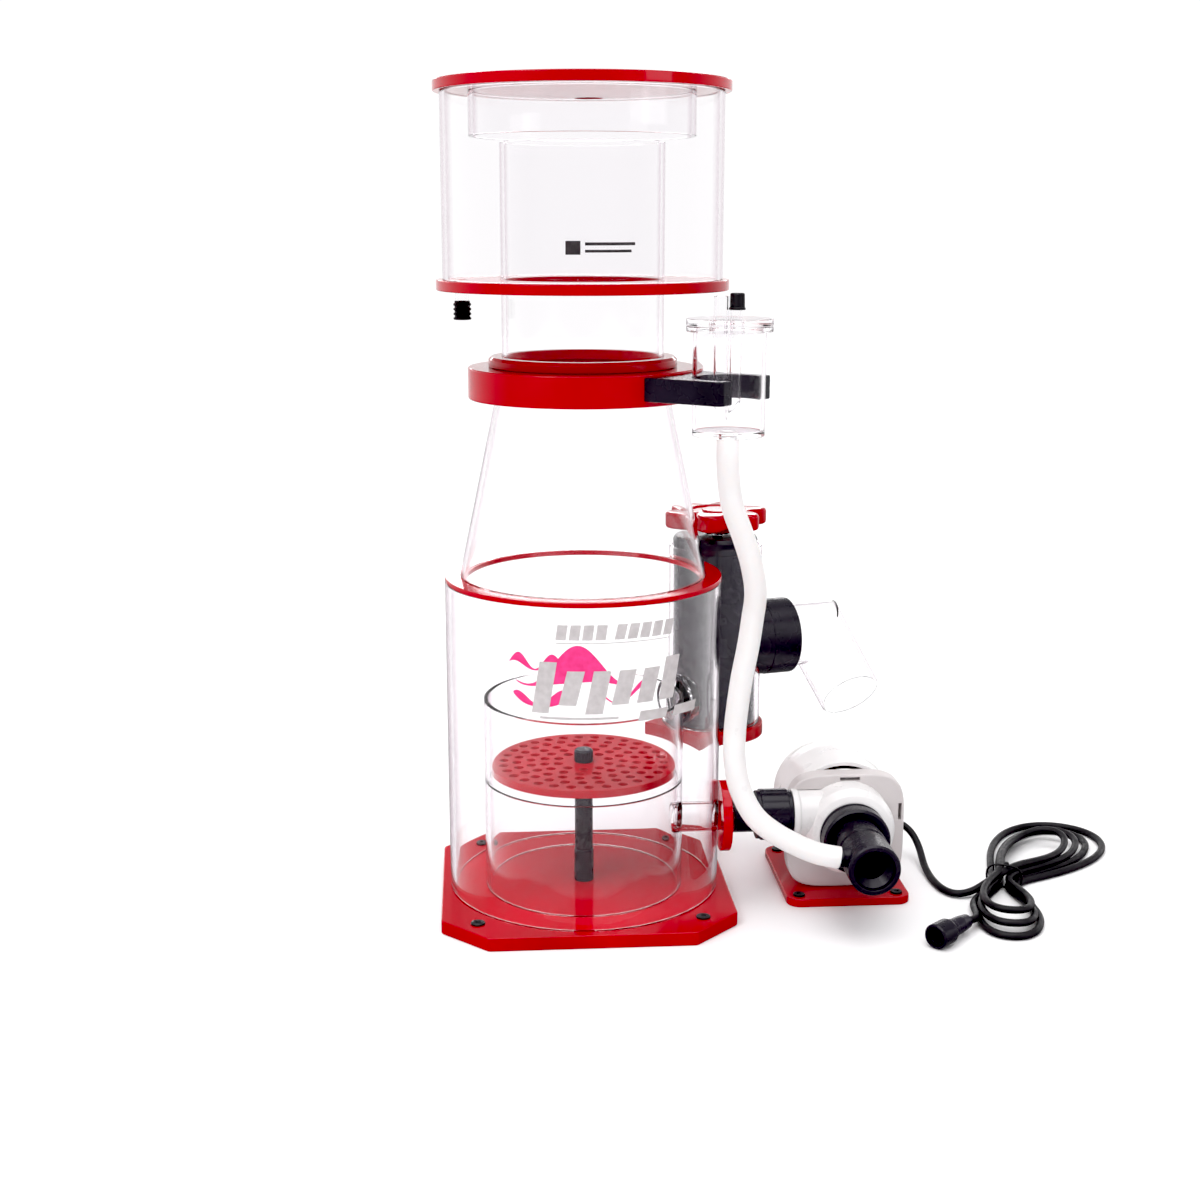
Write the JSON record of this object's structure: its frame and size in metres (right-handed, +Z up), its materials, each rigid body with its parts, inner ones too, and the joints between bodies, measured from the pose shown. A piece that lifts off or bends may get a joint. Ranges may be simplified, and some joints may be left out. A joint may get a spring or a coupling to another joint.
{
  "type": "protein skimmer",
  "caption": "In-sump protein skimmer: clear body and cone, red plates, twist-off collection cup, air silencer, outlet valve and needle-wheel pump with lead.",
  "frame": {"origin": "on the skimmer's vertical axis, at the underside of the base plate", "axes": "+Z up along the skimmer's axis; +X towards the pump, square to the base plate's edge; -Y towards the silencer's side"},
  "size_m": [0.5347, 0.2684, 0.5864],
  "materials": {
    "red_acrylic": "polished cast acrylic",
    "clear_acrylic": "polished clear acrylic",
    "pink_acrylic": "translucent disc",
    "black_plastic": "satin moulded",
    "black_rubber": "satin",
    "white_plastic": "satin moulded",
    "grey_plastic": "fine moulded grain",
    "silicone": "translucent white silicone",
    "steel": "turned",
    "motor_core": "wound core",
    "magnet": "coated"
  },
  "bodies": {
    "skimmer": {"base_plate": "red_acrylic", "base_plugs": "black_rubber", "body_tube": "clear_acrylic", "body_top_ring": "red_acrylic", "cone": "clear_acrylic", "chamber_lower": "clear_acrylic", "chamber_upper": "clear_acrylic", "plate_post": "black_plastic", "inlet_pipe": "clear_acrylic", "inlet_flange": "red_acrylic", "union_sleeve": "black_plastic", "riser_tube": "clear_acrylic", "riser_base": "red_acrylic", "riser_duct": "clear_acrylic", "valve_body": "black_plastic", "valve_socket": "black_plastic", "valve_cap": "black_plastic", "collar_ring": "red_acrylic", "silencer_bracket": "black_plastic", "silencer_body": "clear_acrylic", "air_hose": "silicone", "pump_base": "red_acrylic", "pump_base_plugs": "black_rubber", "pump_motor_shell": "white_plastic", "pump_front_cover": "grey_plastic", "pump_volute": "white_plastic", "pump_intake_ring": "black_plastic", "pump_intake_nozzle": "black_plastic", "pump_stator": "motor_core", "pump_shaft": "steel", "pump_bushes": "black_rubber", "pump_cord_gland": "black_rubber", "pump_cord": "black_rubber", "pump_cord_hank": "black_rubber", "pump_connector": "black_plastic"},
    "bubble_plate": {"bubble_plate": "red_acrylic", "plate_knob": "black_plastic"},
    "union_nut": {"union_nut": "black_plastic"},
    "valve_knob": {"valve_knob": "red_acrylic", "valve_stem": "steel"},
    "valve_gate": {"valve_gate": "black_plastic"},
    "outlet_spout": {"outlet_spout": "clear_acrylic"},
    "cup_seal": {"cup_seal": "black_rubber"},
    "cup": {"cup_neck": "clear_acrylic", "cup_seat_ring": "red_acrylic", "cup_floor": "red_acrylic", "cup_wall": "clear_acrylic", "drain_tube": "clear_acrylic"},
    "drain_plug": {"drain_plug": "black_rubber"},
    "lid": {"lid_plate": "red_acrylic", "lid_skirt": "clear_acrylic", "lid_vent": "pink_acrylic"},
    "silencer_lid": {"silencer_lid": "clear_acrylic", "silencer_inlet_tube": "clear_acrylic", "silencer_bleed_tube": "clear_acrylic"},
    "silencer_cap": {"silencer_cap": "black_rubber"},
    "pump_rotor": {"pump_rotor": "magnet", "pump_impeller": "white_plastic"}
  },
  "joints": [
    {"name": "bubble_plate_lift", "type": "slide", "parent": "skimmer", "child": "bubble_plate", "axis": [0, 0, 1], "range_m": [0, 0.04]},
    {"name": "union_nut_turn", "type": "hinge", "parent": "skimmer", "child": "union_nut", "pos_m": [0.135, -0.026, 0.0665], "axis": [1, 0, 0], "range_deg": [0, 720]},
    {"name": "valve_knob_turn", "type": "hinge", "parent": "skimmer", "child": "valve_knob", "pos_m": [0.10938, 0.08332, 0.27], "axis": [0, 0, -1], "range_deg": [0, 2160]},
    {"name": "valve_gate_slide", "type": "slide", "parent": "skimmer", "child": "valve_gate", "axis": [0, 0, 1], "range_m": [-0.0452, 0]},
    {"name": "outlet_spout_turn", "type": "hinge", "parent": "skimmer", "child": "outlet_spout", "pos_m": [0.15781, 0.09576, 0.172], "axis": [0.9686, 0.2487, 0], "range_deg": [-90, 90]},
    {"name": "cup_lift", "type": "slide", "parent": "skimmer", "child": "cup_seal", "axis": [0, 0, 1], "range_m": [0, 0.12]},
    {"name": "cup_twist", "type": "hinge", "parent": "cup_seal", "child": "cup", "pos_m": [0, 0, 0.4], "axis": [0, 0, 1], "range_deg": [0, 30]},
    {"name": "drain_plug_pull", "type": "slide", "parent": "cup", "child": "drain_plug", "axis": [0, 0, -1], "range_m": [0, 0.025]},
    {"name": "lid_lift", "type": "slide", "parent": "cup", "child": "lid", "axis": [0, 0, 1], "range_m": [0, 0.08]},
    {"name": "silencer_lid_lift", "type": "slide", "parent": "skimmer", "child": "silencer_lid", "axis": [0, 0, 1], "range_m": [0, 0.014]},
    {"name": "silencer_cap_pull", "type": "slide", "parent": "silencer_lid", "child": "silencer_cap", "axis": [0, 0, 1], "range_m": [0, 0.02]},
    {"name": "pump_rotor_spin", "type": "hinge", "parent": "skimmer", "child": "pump_rotor", "pos_m": [0.194, 0, 0.056], "axis": [0, -1, 0], "continuous": true}
  ],
  "couplings": [
    {"joint": "valve_gate_slide", "follows": "valve_knob_turn", "m_per_rad": -0.0011937}
  ]
}
